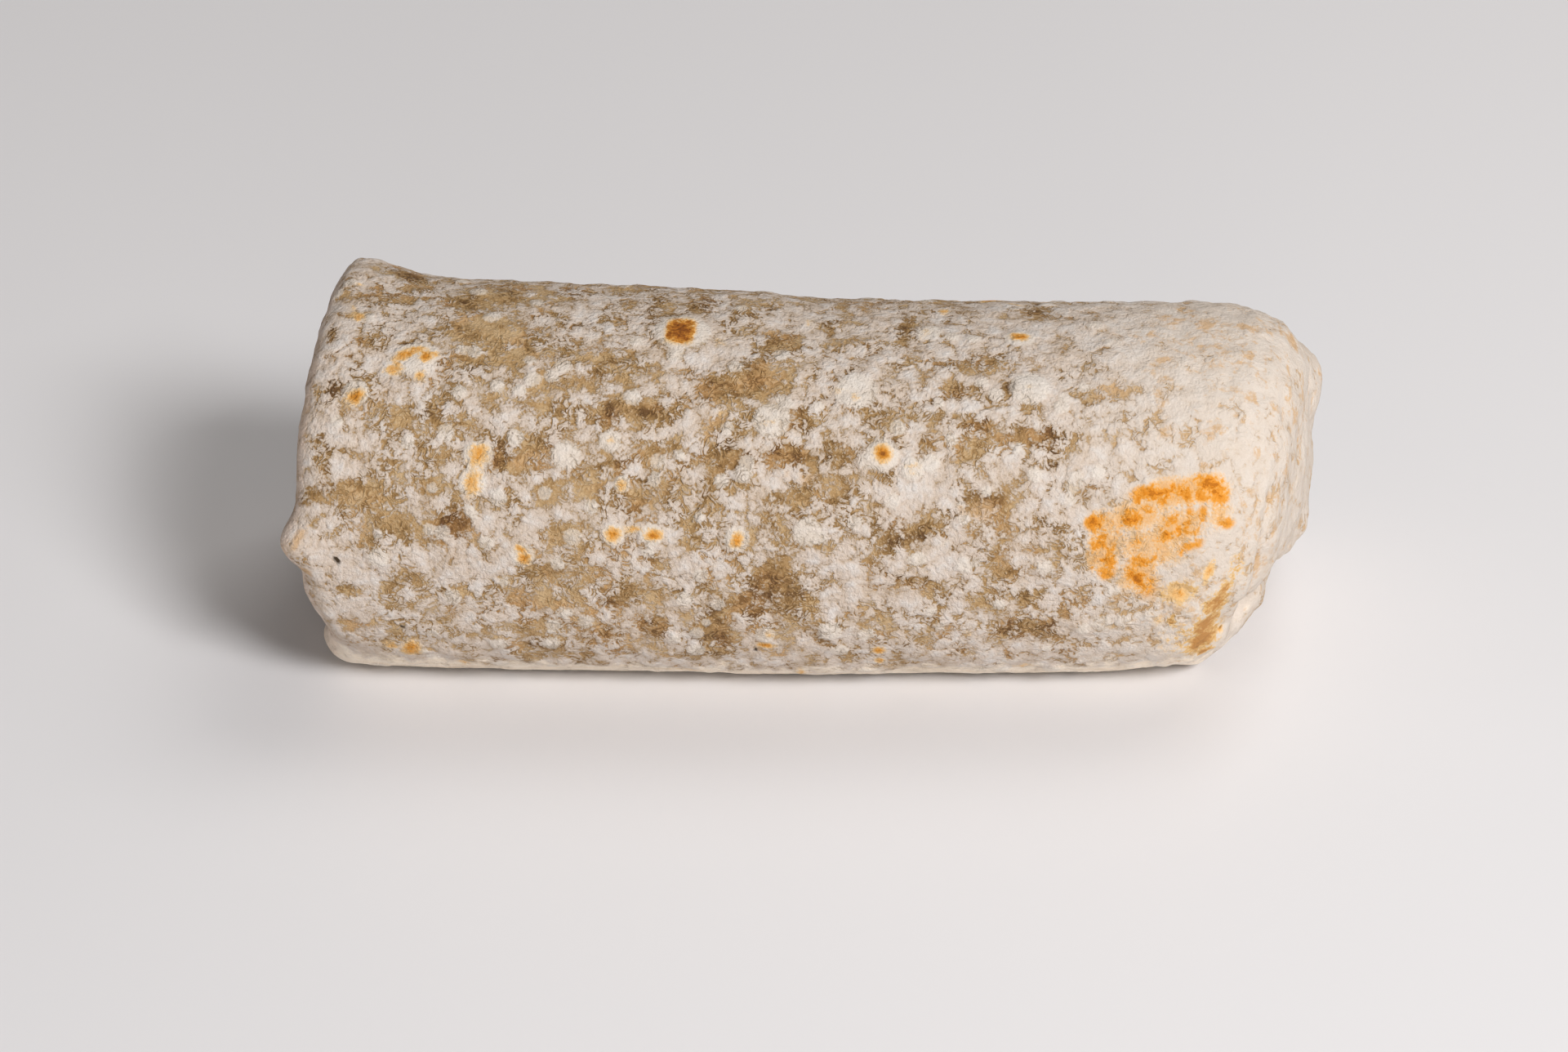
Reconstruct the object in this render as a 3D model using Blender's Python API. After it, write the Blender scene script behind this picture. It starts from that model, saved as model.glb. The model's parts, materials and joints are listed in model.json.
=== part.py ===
"""A burrito: one flour tortilla rolled shut, its ends tucked in, lying on the flat it has settled into.

Metres, +Z up. X runs along the roll, -Y is its front, and the origin is under the middle of its box.
A place on the skin is named by its distance along the roll and its angle around it: 0 degrees is the
back, 90 the top, 180 the front and 270 the underside.
"""

import math

import bmesh
import bpy

MM = 0.001

# The roll
LENGTH = 159.8 * MM                 # between the end faces, on the roll's own line
GIRTH_HEIGHT = 25.0 * MM            # height of its widest line
SINK = 3.5 * MM                     # how far the round section would reach below the table
SETTLE_BEND = 2.0 * MM              # height of the soft bend into the flat underside
TOP_FULLNESS = 2.25                 # superellipse powers of the upper and the lower half
BASE_FULLNESS = 2.5
NOMINAL_RADIUS = 30.0 * MM          # radius that turns a lift into a share of the section

# Sections along the roll: share of the half length, half width, top height, drift towards the back
SECTIONS = (
    (-1.0, 31.8 * MM, 57.6 * MM, 5.6 * MM),
    (-0.7, 31.4 * MM, 56.9 * MM, 4.7 * MM),
    (-0.3, 31.2 * MM, 55.4 * MM, 3.7 * MM),
    (0.0, 31.0 * MM, 53.9 * MM, 2.8 * MM),
    (0.35, 30.8 * MM, 53.4 * MM, 2.9 * MM),
    (0.7, 30.5 * MM, 53.2 * MM, 3.3 * MM),
    (1.0, 30.0 * MM, 51.9 * MM, 3.6 * MM),
)

# The ends: bend radius of the rim, skew of the face (shift along X for each metre towards the back),
# and how far the middle of the face lies inside (+) or outside (-) its rim
LEFT_END = {"side": -1, "rim": 5.0 * MM, "skew": 0.12, "dish": 2.0 * MM}
RIGHT_END = {"side": 1, "rim": 11.0 * MM, "skew": 0.22, "dish": -1.6 * MM}

# Tucks of the end faces: a flap's edge crosses the face, and what lies beyond it is a layer lower.
# Direction that the edge faces (degrees), its distance from the middle (share of the radius),
# how far it bows, and the drop behind it
LEFT_TUCKS = (
    (283.0, 0.22, 0.20, 2.8 * MM),
    (75.0, 0.52, 0.25, 1.6 * MM),
)
RIGHT_TUCKS = (
    (255.0, 0.56, 0.10, 3.2 * MM),
    (30.0, 0.50, 0.25, 1.6 * MM),
)
TUCK_SOFTNESS = 0.13                # width of a tuck's step, as a share of the radius

# Local swells of the skin: place along X, angle, reach along X, reach in degrees,
# lift off the roll, and push along X
SWELLS = (
    (-78.0 * MM, 60.0, 8.0 * MM, 24.0, 2.8 * MM, -0.3 * MM),    # far left corner flares up
    (-79.0 * MM, 172.0, 4.5 * MM, 7.0, 1.5 * MM, -2.2 * MM),    # nose of the left rim
    (-79.0 * MM, 213.0, 11.0 * MM, 22.0, -1.0 * MM, 5.0 * MM),  # lower left corner is tucked in
    (80.0 * MM, 18.0, 8.0 * MM, 11.0, 1.5 * MM, 2.6 * MM),      # far right corner
    (78.0 * MM, 50.0, 9.0 * MM, 18.0, -0.5 * MM, -3.5 * MM),
    (80.0 * MM, 200.0, 9.0 * MM, 15.0, -1.0 * MM, -3.5 * MM),   # front right corner
    (80.0 * MM, 250.0, 14.0 * MM, 50.0, 0.0, -10.5 * MM),        # right face turns under
    (72.0 * MM, 234.0, 7.0 * MM, 12.0, 1.2 * MM, 2.5 * MM),     # lobe at the foot of that corner
    (-12.0 * MM, 72.0, 9.0 * MM, 18.0, 0.7 * MM, 0.0),          # low bumps of the filling
    (25.0 * MM, 130.0, 22.0 * MM, 28.0, 0.5 * MM, 0.0),
    (-50.0 * MM, 150.0, 18.0 * MM, 30.0, 0.5 * MM, 0.0),
    (-20.0 * MM, 5.0, 20.0 * MM, 30.0, 0.9 * MM, 0.0),
    (45.0 * MM, -5.0, 18.0 * MM, 26.0, 0.7 * MM, 0.0),
)
KNOB = {"turn": 256.0, "out": 0.46, "reach": 0.20, "push": 1.8 * MM}    # knot of dough on the right face

# The tortilla's free edge: a round rim that runs along the lower back, lowest at the ends
LAYER = 1.9 * MM                    # height of its step
EDGE_ANGLE = -12.0                  # at the middle of the roll
EDGE_BOW = -32.0                    # added towards the ends
EDGE_FADE = (0.84, 0.97)            # shares of the half length where it runs out
EDGE_FACE = 0.8                     # degrees that the step itself takes
LAYER_EASE = 80.0                   # degrees over which the upper layer settles onto the roll

# The mesh: a cube's grid, which has no poles
RINGS = 36                          # along the roll, without the rims
RIM_RINGS = 5
SIDE_CELLS = 18                     # across each of the four sides, and across the end faces


def ease(share):
    share = min(max(share, 0.0), 1.0)
    return share * share * (3.0 - 2.0 * share)


def bell(offset):
    return math.exp(-offset * offset)


def turn_apart(angle, other):
    """Smallest turn from one angle to the other, in degrees."""
    return (angle - other + 180.0) % 360.0 - 180.0


def mix(first, second, share):
    return first + (second - first) * share


def section_at(along):
    """Half width, top height and drift at a share of the half length, on a smooth curve."""
    along = min(max(along, -1.0), 1.0)
    last = len(SECTIONS) - 1
    index = next(i for i in range(last) if along <= SECTIONS[i + 1][0])
    start, end = SECTIONS[index], SECTIONS[index + 1]
    before, after = SECTIONS[max(index - 1, 0)], SECTIONS[min(index + 2, last)]
    gap = end[0] - start[0]
    share = (along - start[0]) / gap
    values = []
    for start_v, end_v, before_v, after_v in list(zip(start, end, before, after))[1:]:
        slope_in = (end_v - before_v) / (end[0] - before[0]) * gap
        slope_out = (after_v - start_v) / (after[0] - start[0]) * gap
        rise = end_v - start_v
        cubic = slope_in + slope_out - 2.0 * rise
        square = 3.0 * rise - 2.0 * slope_in - slope_out
        values.append(start_v + share * (slope_in + share * (square + share * cubic)))
    return values


def ring_stations():
    """Each ring's distance along the roll and its scale, from the left face's edge to the right's."""

    def rim(end):
        edge = 1.0 - end["rim"] / NOMINAL_RADIUS
        for step in range(RIM_RINGS):
            bend = math.pi / 2.0 * step / RIM_RINGS
            inward = end["rim"] * (1.0 - math.cos(bend))
            scale = edge + (1.0 - edge) * math.sin(bend)
            yield end["side"] * (LENGTH / 2.0 - inward), scale

    start = -LENGTH / 2.0 + LEFT_END["rim"]
    run = LENGTH - LEFT_END["rim"] - RIGHT_END["rim"]
    body = [(start + run * ring / RINGS, 1.0) for ring in range(RINGS + 1)]
    return [*rim(LEFT_END), *body, *reversed(list(rim(RIGHT_END)))]


def share_around(across, up):
    """Share of the way around the cube's grid, counted from its lower back corner."""
    if abs(across) >= abs(up):
        angle = 45.0 * up / across + (0.0 if across > 0.0 else 180.0)
    else:
        angle = (90.0 if up > 0.0 else 270.0) - 45.0 * across / up
    return (angle + 45.0) % 360.0 / 360.0


def angle_around(share, along):
    """Angle of a grid column, and its turn from the free edge, whose step lies between the last column
    and the first."""
    columns = 4 * SIDE_CELLS
    on_skin = (columns - 1) / columns
    if share <= on_skin:
        turn = share / on_skin * (360.0 - EDGE_FACE)
    else:
        turn = 360.0 - EDGE_FACE * (1.0 - share) / (1.0 - on_skin)
    return EDGE_ANGLE + EDGE_BOW * along * along + turn, turn


def layer_height(turn, along):
    """Height of the upper layer over the roll: whole at the free edge, and settled further round."""
    fade = 1.0 - ease((abs(along) - EDGE_FADE[0]) / (EDGE_FADE[1] - EDGE_FADE[0]))
    return LAYER * fade * (1.0 - ease(turn / LAYER_EASE))


def tuck_depth(tucks, out, angle):
    """How far an end face lies inside at a point, behind the edges of its folded flaps."""
    depth = 0.0
    for facing, distance, bow, drop in tucks:
        turn = math.radians(angle - facing)
        ahead = out * math.cos(turn)
        sideways = out * math.sin(turn)
        edge = distance - bow * sideways * sideways
        depth += drop * ease((ahead - edge) / TUCK_SOFTNESS + 0.5)
    return depth


def face_point(end, tucks, out, angle):
    """Distance along the roll and scale of a point on an end face, out from its middle (0) to its rim (1)."""
    edge = 1.0 - end["rim"] / NOMINAL_RADIUS
    inward = end["dish"] * (1.0 - out * out)
    inward += tuck_depth(tucks, out, angle) * (1.0 - ease((out - 0.72) / 0.28))
    return end["side"] * (LENGTH / 2.0 - inward), edge * out


def knob_push(out, angle):
    knob_y = KNOB["out"] * math.cos(math.radians(KNOB["turn"]))
    knob_z = KNOB["out"] * math.sin(math.radians(KNOB["turn"]))
    here_y = out * math.cos(math.radians(angle))
    here_z = out * math.sin(math.radians(angle))
    return KNOB["push"] * bell(math.hypot(here_y - knob_y, here_z - knob_z) / KNOB["reach"])


def skin_point(distance, scale, angle, layer):
    """The roll's form at a distance along it, a scale of its section, an angle and a layer height."""
    along = distance / (LENGTH / 2.0)
    half_width, top, drift = section_at(along)
    across = math.cos(math.radians(angle))
    up = math.sin(math.radians(angle))
    power = 2.0 / (TOP_FULLNESS if up > 0.0 else BASE_FULLNESS)
    half_height = top - GIRTH_HEIGHT if up > 0.0 else GIRTH_HEIGHT + SINK
    y = half_width * math.copysign(abs(across) ** power, across) * scale
    z = half_height * math.copysign(abs(up) ** power, up) * scale

    lift, push = layer, 0.0
    for place, facing, reach, spread, rise, shift in SWELLS:
        weight = bell((distance - place) / reach) * bell(turn_apart(angle, facing) / spread) * scale * scale
        lift += rise * weight
        push += shift * weight
    y = y * (1.0 + lift / NOMINAL_RADIUS) + drift
    z = z * (1.0 + lift / NOMINAL_RADIUS) + GIRTH_HEIGHT

    skew = mix(LEFT_END["skew"], RIGHT_END["skew"], ease((along + 1.0) / 2.0))
    if z < -SETTLE_BEND:
        z = 0.0
    elif z < SETTLE_BEND:
        z = (z + SETTLE_BEND) ** 2 / (4.0 * SETTLE_BEND)
    return distance + push + skew * y, y, z


def cube_grid():
    """A cube from -1 to 1, cut into cells: one cell for each ring along X, SIDE_CELLS across Y and Z."""
    mesh = bmesh.new()
    bmesh.ops.create_cube(mesh, size=2.0)
    for axis, cells in enumerate((len(ring_stations()) - 1, SIDE_CELLS, SIDE_CELLS)):
        edges = [e for e in mesh.edges if abs(e.verts[0].co[axis] - e.verts[1].co[axis]) > 1.0]
        bmesh.ops.subdivide_edges(mesh, edges=edges, cuts=cells - 1, use_grid_fill=True)
    return mesh


def shape_roll(mesh):
    stations = ring_stations()
    last = len(stations) - 1
    for vertex in mesh.verts:
        along_grid, across, up = vertex.co
        ring = round((along_grid + 1.0) / 2.0 * last)
        share = share_around(across, up) if max(abs(across), abs(up)) > 1e-6 else 0.0
        if ring in (0, last):
            end, tucks = (LEFT_END, LEFT_TUCKS) if ring == 0 else (RIGHT_END, RIGHT_TUCKS)
            out = max(abs(across), abs(up))
            angle, turn = angle_around(share, end["side"])
            distance, scale = face_point(end, tucks, out, angle)
            if end is RIGHT_END:
                distance += knob_push(out, angle)
            layer = 0.0
        else:
            distance, scale = stations[ring]
            along = distance / (LENGTH / 2.0)
            angle, turn = angle_around(share, along)
            layer = layer_height(turn, along)
        vertex.co = skin_point(distance, scale, angle, layer)


def centre_on_origin(mesh):
    for axis in (0, 1):
        values = [vertex.co[axis] for vertex in mesh.verts]
        middle = (min(values) + max(values)) / 2.0
        for vertex in mesh.verts:
            vertex.co[axis] -= middle


def tortilla_material():
    material = bpy.data.materials.new("flour_tortilla")
    material.use_nodes = True
    shader = material.node_tree.nodes["Principled BSDF"]
    shader.inputs["Base Color"].default_value = (0.56, 0.46, 0.35, 1.0)
    shader.inputs["Roughness"].default_value = 0.82
    shader.inputs["Metallic"].default_value = 0.0
    return material


def build_burrito():
    grid = cube_grid()
    shape_roll(grid)
    centre_on_origin(grid)
    bmesh.ops.recalc_face_normals(grid, faces=grid.faces)
    mesh = bpy.data.meshes.new("burrito")
    grid.to_mesh(mesh)
    grid.free()
    mesh.materials.append(tortilla_material())
    mesh.shade_smooth()
    burrito = bpy.data.objects.new("burrito", mesh)
    bpy.context.scene.collection.objects.link(burrito)
    return burrito


for old in list(bpy.data.objects):
    bpy.data.objects.remove(old, do_unlink=True)
build_burrito()
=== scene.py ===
import json
import math
import random

import bmesh
import bpy
import numpy as np
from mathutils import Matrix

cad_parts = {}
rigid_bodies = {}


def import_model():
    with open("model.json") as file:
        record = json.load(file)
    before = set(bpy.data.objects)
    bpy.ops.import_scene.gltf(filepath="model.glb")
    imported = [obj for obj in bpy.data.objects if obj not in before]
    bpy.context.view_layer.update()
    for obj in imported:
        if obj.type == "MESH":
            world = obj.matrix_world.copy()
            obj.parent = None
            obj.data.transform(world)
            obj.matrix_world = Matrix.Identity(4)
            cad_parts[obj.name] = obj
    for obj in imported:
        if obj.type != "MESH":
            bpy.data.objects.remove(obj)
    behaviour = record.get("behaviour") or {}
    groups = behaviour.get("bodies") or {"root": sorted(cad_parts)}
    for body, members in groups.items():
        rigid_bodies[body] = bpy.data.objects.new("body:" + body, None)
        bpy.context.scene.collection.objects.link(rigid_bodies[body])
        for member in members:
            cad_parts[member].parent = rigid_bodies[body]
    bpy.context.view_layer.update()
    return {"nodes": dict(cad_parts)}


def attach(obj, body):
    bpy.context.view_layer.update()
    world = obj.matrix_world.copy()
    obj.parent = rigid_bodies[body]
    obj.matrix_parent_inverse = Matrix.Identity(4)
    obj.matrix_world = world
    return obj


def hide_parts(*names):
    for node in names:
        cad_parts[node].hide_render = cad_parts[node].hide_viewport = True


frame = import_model()

MM = 0.001

# The roll lies along X. A place on its skin is given as millimetres along X and degrees round
# the roll's middle line: 0 is the back, 90 the top, 180 the front and 270 the underside.
MIDDLE_Y, MIDDLE_Z = 2.0, 25.0

# Thin places where the flour has rubbed off and the filling shows through as tan or brown:
# along, round, half length, half width, turn, how bare, how dark.
BARE_PATCHES = [
    (-54, 104, 7.5, 4.0, 0, 0.9, 0.30), (-48.5, 114, 5.5, 2.6, 0, 0.8, 0.45), (-56, 115.5, 4.0, 1.8, 0, 0.6, 0.4),
    (-34.5, 113.5, 4.5, 2.4, 0, 0.8, 0.55), (-56, 89, 4.0, 4.0, 0, 0.7, 0.55), (-49, 80, 7.0, 5.0, 0, 0.6, 0.45),
    (-33, 123.5, 7.5, 2.4, 8, 0.7, 0.55), (-32.5, 132.5, 6.0, 2.2, 0, 1.1, 0.9), (-61, 133, 1.2, 2.4, 10, 1.0, 0.7),
    (-66.5, 133, 3.5, 2.2, 0, 0.7, 0.6), (-44, 131.5, 3.0, 1.6, 0, 0.8, 0.75), (-24.5, 131.5, 3.4, 1.4, 12, 0.9, 0.75),
    (-10.5, 121.5, 6.6, 4.6, 14, 1.2, 0.55), (-5, 105, 4.5, 2.8, 0, 0.8, 0.5), (-14, 144.5, 5.0, 2.4, 0, 1.0, 0.85),
    (-45.5, 144, 4.0, 2.6, 22, 0.9, 0.62), (-50.5, 144.5, 1.3, 3.0, 8, 0.9, 0.85), (-26, 143.5, 4.5, 1.9, 10, 0.9, 0.75),
    (-33.5, 145, 3.0, 2.2, 0, 0.6, 0.6), (-5.5, 145, 3.0, 2.6, 0, 0.9, 0.85), (-43.5, 154, 4.6, 2.2, 18, 0.9, 0.6),
    (-37, 152, 4.4, 2.2, -12, 1.0, 0.4), (-74, 154.5, 6.0, 2.4, 0, 0.7, 0.45), (-64.5, 163.5, 5.6, 2.2, 0, 0.9, 0.55),
    (-58, 163.5, 2.2, 3.2, -14, 1.0, 1.0), (-41, 164.5, 3.4, 1.9, -14, 1.1, 0.4), (-26, 154.5, 4.4, 2.0, 0, 0.6, 0.55),
    (-18, 155, 2.6, 2.0, 0, 0.5, 0.6), (-8, 164.5, 2.4, 3.4, 0, 0.7, 0.65), (-45, 184.5, 5.6, 2.6, 0, 1.0, 0.4),
    (-42.5, 176, 2.4, 1.4, 0, 0.7, 0.65), (-65, 186, 5.2, 2.2, 0, 0.6, 0.35), (-75, 183.5, 2.4, 1.3, 0, 0.8, 0.5),
    (-32, 184, 3.0, 2.2, 0, 0.6, 0.7), (-25.5, 184, 2.2, 2.6, 0, 0.8, 0.5), (-45, 195, 6.2, 2.4, 0, 0.8, 0.5),
    (-36, 197.5, 3.0, 1.2, 0, 0.7, 0.65), (-46.5, 202.5, 4.6, 1.3, 0, 0.9, 0.65), (-26.5, 194, 2.4, 2.8, 0, 0.9, 0.85),
    (-17, 193.5, 3.2, 3.6, 14, 1.1, 0.9), (-7, 178, 4.4, 3.6, 0, 1.1, 0.9), (-11.5, 186, 3.4, 2.8, 0, 1.1, 0.85),
    (-3.5, 185, 3.6, 2.6, 0, 0.8, 0.8), (-16.5, 203, 3.0, 1.8, 0, 0.6, 0.7), (-73, 196, 5.0, 1.4, 0, 0.6, 0.4),
    (13.8, 99, 1.5, 4.6, 0, 0.9, 0.8), (2.2, 96, 1.6, 3.6, 0, 0.6, 0.6), (5, 104.5, 2.4, 2.0, 0, 0.7, 0.5),
    (16, 115, 5.0, 2.0, 0, 0.7, 0.6), (24.5, 114.5, 5.0, 2.2, 0, 0.7, 0.5), (34, 113.5, 5.0, 1.9, 0, 0.7, 0.5),
    (43, 113, 3.2, 1.6, 0, 0.5, 0.35), (46, 124.5, 5.2, 2.2, 0, 0.8, 0.35), (22.5, 123.5, 3.4, 1.5, -8, 0.9, 0.7),
    (30, 125, 1.1, 2.2, 0, 1.0, 0.8), (24.5, 135, 5.2, 1.4, 0, 0.9, 0.75), (25.5, 141.5, 4.8, 2.8, 0, 0.9, 0.5),
    (34.5, 138.5, 4.4, 2.0, -6, 1.0, 0.85), (37, 145.5, 1.0, 2.0, 0, 1.2, 1.1), (46, 138.5, 4.0, 1.6, 0, 0.4, 0.3),
    (58, 136, 4.0, 1.6, 0, 0.4, 0.25), (3.5, 144, 3.6, 2.8, 0, 0.8, 0.8), (-3.5, 133.5, 3.0, 2.2, -20, 0.9, 0.85),
    (12.5, 132, 2.4, 1.6, 0, 0.4, 0.5), (-1, 154.5, 7.0, 2.4, 0, 0.6, 0.7), (26, 156.5, 5.0, 2.4, 0, 0.9, 0.75),
    (27, 164, 3.2, 2.0, 0, 0.8, 0.75), (13.5, 164, 5.8, 2.6, 0, 1.0, 0.9), (29, 173, 2.0, 4.0, 0, 0.7, 0.7),
    (9.5, 171.5, 2.2, 1.6, 0, 0.7, 0.8), (13.5, 178.5, 2.4, 1.0, 0, 0.6, 0.8), (34, 176, 2.4, 2.0, 0, 0.4, 0.6),
    (0, 193, 2.0, 1.8, 0, 0.5, 0.8), (33.5, 194.5, 5.6, 2.4, -4, 1.1, 0.9), (26.5, 185, 2.6, 2.4, 0, 0.7, 0.6),
    (33.5, 185, 3.0, 1.8, 0, 0.6, 0.7), (18, 195.5, 6.5, 2.0, 0, 0.5, 0.4), (46, 195, 3.4, 1.6, 0, 0.4, 0.45),
    (56, 171, 2.6, 1.6, 0, 0.5, 0.5), (62, 175, 1.6, 2.0, 0, 0.5, 0.4), (-60, 152, 2.6, 2.0, 0, 0.5, 0.5),
    (-25, 88, 4.0, 3.4, 20, 0.7, 0.75), (-18, 84, 2.2, 3.0, 0, 0.6, 0.8), (14, 88, 1.6, 3.4, 0, 0.7, 0.85),
    (33.5, 79.5, 3.6, 3.4, 0, 0.7, 0.65), (45.5, 82, 2.0, 1.6, 0, 0.7, 0.7), (-74, 98, 2.6, 1.6, 20, 0.8, 0.5),
    (4, 80, 3.0, 3.4, 0, 0.5, 0.5),
    (-79.3, 154.3, 2.4, 1.6, 0, 0.9, 0.70), (-75.5, 152.6, 2.0, 1.4, 0, 0.8, 0.75), (-82.8, 158, 0.7, 2.4, -25, 0.9, 0.75),
    (-80.9, 157, 0.5, 2.6, -30, 0.8, 0.70), (-79.3, 160, 0.5, 2.4, -35, 0.7, 0.60), (-71.2, 154.3, 2.6, 1.6, 0, 1.0, 0.35),
    (-70.5, 161.6, 2.8, 2.0, 0, 1.0, 0.35), (-66.2, 162.3, 2.6, 1.4, 0, 1.0, 0.45), (-77.6, 128.4, 0.8, 1.6, -10, 1.0, 1.0),
    (-78.6, 138.7, 0.4, 1.4, -25, 0.8, 0.90), (-77.6, 143.1, 0.4, 1.8, 0, 0.9, 0.90), (-81.1, 144.7, 0.5, 0.5, 0, 0.8, 0.90),
    (-77.8, 147.2, 0.6, 0.9, -20, 0.8, 0.85), (-78.1, 107.2, 1.0, 2.0, 0, 1.0, 0.75), (-71.9, 109.4, 2.2, 1.8, 0, 0.9, 0.55),
    (-74.6, 114.7, 1.0, 0.8, 0, 0.9, 0.80), (-73.1, 117.5, 1.4, 1.0, 0, 0.8, 0.70), (-72.4, 122, 2.2, 0.8, 20, 0.9, 0.75),
    (-75.6, 125.7, 1.4, 0.7, 25, 0.9, 0.85), (-77.4, 124, 0.5, 1.4, 0, 0.9, 0.90), (-80.9, 121, 0.5, 1.2, -20, 0.9, 0.85),
    (-80.9, 124.3, 0.7, 0.5, 0, 0.8, 0.80), (-74.3, 87.7, 0.6, 0.6, 0, 0.8, 0.70), (-69.9, 102.7, 0.7, 0.5, 0, 0.9, 0.70),
    (-66, 109.9, 0.7, 0.4, 0, 0.9, 0.80), (-68.6, 88.1, 2.2, 1.6, 0, 0.9, 0.40), (-67, 70.3, 2.0, 2.6, 0, 0.8, 0.45),
    (-65.2, 79.1, 3.0, 2.0, -10, 0.8, 0.45), (-71.1, 72.1, 2.6, 1.2, -20, 0.8, 0.35),
]

# Places where the flour lies thick and pale: along, round, half length, half width, turn, how thick.
FLOUR_PATCHES = [
    (-22, 102, 5.6, 4.8, 0, 1.0), (-15, 115, 4.0, 3.0, -20, 0.9), (-7.5, 134.5, 3.0, 2.4, 0, 0.8),
    (6, 124.5, 5.6, 3.0, 0, 0.8), (35, 124, 4.6, 2.6, 0, 0.9), (13, 145, 5.0, 2.6, 0, 0.9),
    (21, 172, 4.2, 4.0, 0, 0.8), (-40, 144.5, 2.6, 2.2, 0, 1.0), (-1.5, 163.5, 3.0, 2.4, 0, 0.9),
    (-66, 116, 6.0, 3.4, 0, 0.8), (-56.5, 175, 6.0, 3.0, 0, 0.9), (15, 154, 6.0, 2.2, 0, 0.9),
    (-48.5, 161, 5.5, 2.6, 0, 0.7), (-75, 172, 5.0, 3.4, 0, 0.6), (-30, 165, 5.6, 2.0, 0, 0.7),
    (-13, 165.5, 2.6, 2.0, 0, 0.8), (-54, 147, 3.0, 3.6, 0, 0.7), (-20, 176, 5.0, 3.0, 0, 0.5),
    (-33.5, 173, 3.6, 2.0, 0, 0.5), (1.5, 194.5, 2.4, 2.4, 0, 0.6), (4.5, 177, 3.4, 3.6, 0, 0.6),
    (-64, 172, 3.0, 1.8, 0, 0.4), (32.5, 100.5, 3.4, 3.4, 0, 0.5), (-5.5, 93, 4.0, 2.6, 0, 0.5),
    (-38, 98, 3.6, 3.6, 0, 0.4), (-65, 98, 4.4, 3.6, 0, 0.6), (-23, 137, 4.0, 1.4, 8, 0.7),
    (-74, 143, 4.6, 4.0, 0, 0.5), (52, 100, 6.0, 6.0, 0, 0.4), (-50, 170.5, 3.0, 2.2, 0, 0.5),
    (24, 130, 5.6, 1.3, 0, 0.5), (42, 146, 3.4, 3.4, 0, 0.5), (9, 186, 5.0, 2.4, 0, 0.4),
    (-68, 141, 11, 9, 0, -0.15), (28, 180, 13, 9, 0, -0.12), (-1, 107, 16, 6, 0, 0.14), (31, 108, 14, 6, 0, 0.13),
    (-1, 143, 14, 10, 0, 0.13), (28, 145, 12, 9, 0, 0.12),
]

# Browned places: along, round, half length, half width, turn, how browned.
TOAST_SPOTS = [
    (32.5, 100.5, 1.3, 1.1, 0, 0.95), (20.5, 80.5, 0.9, 1.3, 0, 0.6),
    (-67.6, 119.5, 1.5, 1.1, 10, 0.62), (-66, 114.7, 2.2, 1.0, 30, 0.76), (-64.3, 112.9, 1.7, 0.8, 0, 0.72),
    (-62.6, 115.6, 1.0, 1.0, 0, 0.88), (-61.5, 114.7, 1.0, 0.8, 0, 0.55), (-63.4, 122, 1.0, 1.2, 0, 0.50),
    (-73.5, 128, 1.6, 1.1, 35, 0.80), (-73.9, 99.6, 1.1, 1.0, -25, 0.66), (-75.1, 95, 0.7, 1.2, 0, 0.45),
    (-74.5, 82.7, 0.9, 0.5, 0, 0.50),
    (-53.8, 144, 1.5, 1.8, -14, 0.68), (-54.8, 151, 1.4, 2.3, -10, 0.60), (-31.2, 151.8, 0.9, 0.9, 0, 0.62),
    (-33, 140.2, 0.8, 0.6, 0, 0.45), (10, 143.8, 1.2, 1.3, 0, 1.0), (14.8, 147.5, 1.5, 1.1, 0, 0.3),
    (-32.6, 165, 1.2, 1.2, -12, 0.85), (-29.3, 163.6, 2.0, 0.6, 4, 0.52), (-26.2, 165, 1.3, 0.8, 6, 0.95),
    (-47.4, 169, 0.9, 0.7, 0, 0.75), (-46.8, 171.8, 1.0, 1.2, -8, 0.82), (-13, 166.4, 0.9, 1.3, -22, 0.82),
    (5.8, 127.5, 0.9, 0.9, 0, 0.38), (3, 124.8, 1.5, 0.7, 0, 0.32), (33.5, 123.5, 0.7, 0.6, 0, 0.32),
    (-15.3, 132.3, 1.3, 0.7, 10, 0.3), (-8, 135.3, 1.6, 0.6, 12, 0.36), (-65.8, 205, 1.5, 2.0, -24, 0.75),
    (-69, 204, 1.3, 1.2, 0, 0.5), (-57.5, 213.5, 1.0, 1.2, 0, 0.5), (-8.6, 200.2, 1.5, 0.7, -12, 0.85),
    (-7.9, 195.7, 0.9, 0.8, 0, 0.5), (24, 196, 0.8, 0.5, 0, 0.4), (9.8, 203, 1.1, 0.9, 0, 0.7),
    (10, 208, 0.8, 0.7, 0, 0.7), (-2.8, 216, 0.8, 3.0, 0, 0.42), (33.5, 213, 2.4, 1.2, 0, 0.34),
    (57.4, 183.6, 1.6, 1.3, 0, 0.62), (62.2, 176.5, 0.7, 1.8, -14, 0.55), (17.5, 97, 1.0, 2.6, -18, 0.28),
    (-1.5, 93, 0.8, 1.8, 0, 0.28), (-15.8, 105.5, 1.4, 2.2, 0, 0.24), (-22, 216, 4.0, 1.6, 0, 0.30),
    (54.5, 192.5, 0.8, 1.5, -16, 0.35), (65.2, 205.5, 0.6, 0.9, 0, 0.6),
]

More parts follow.
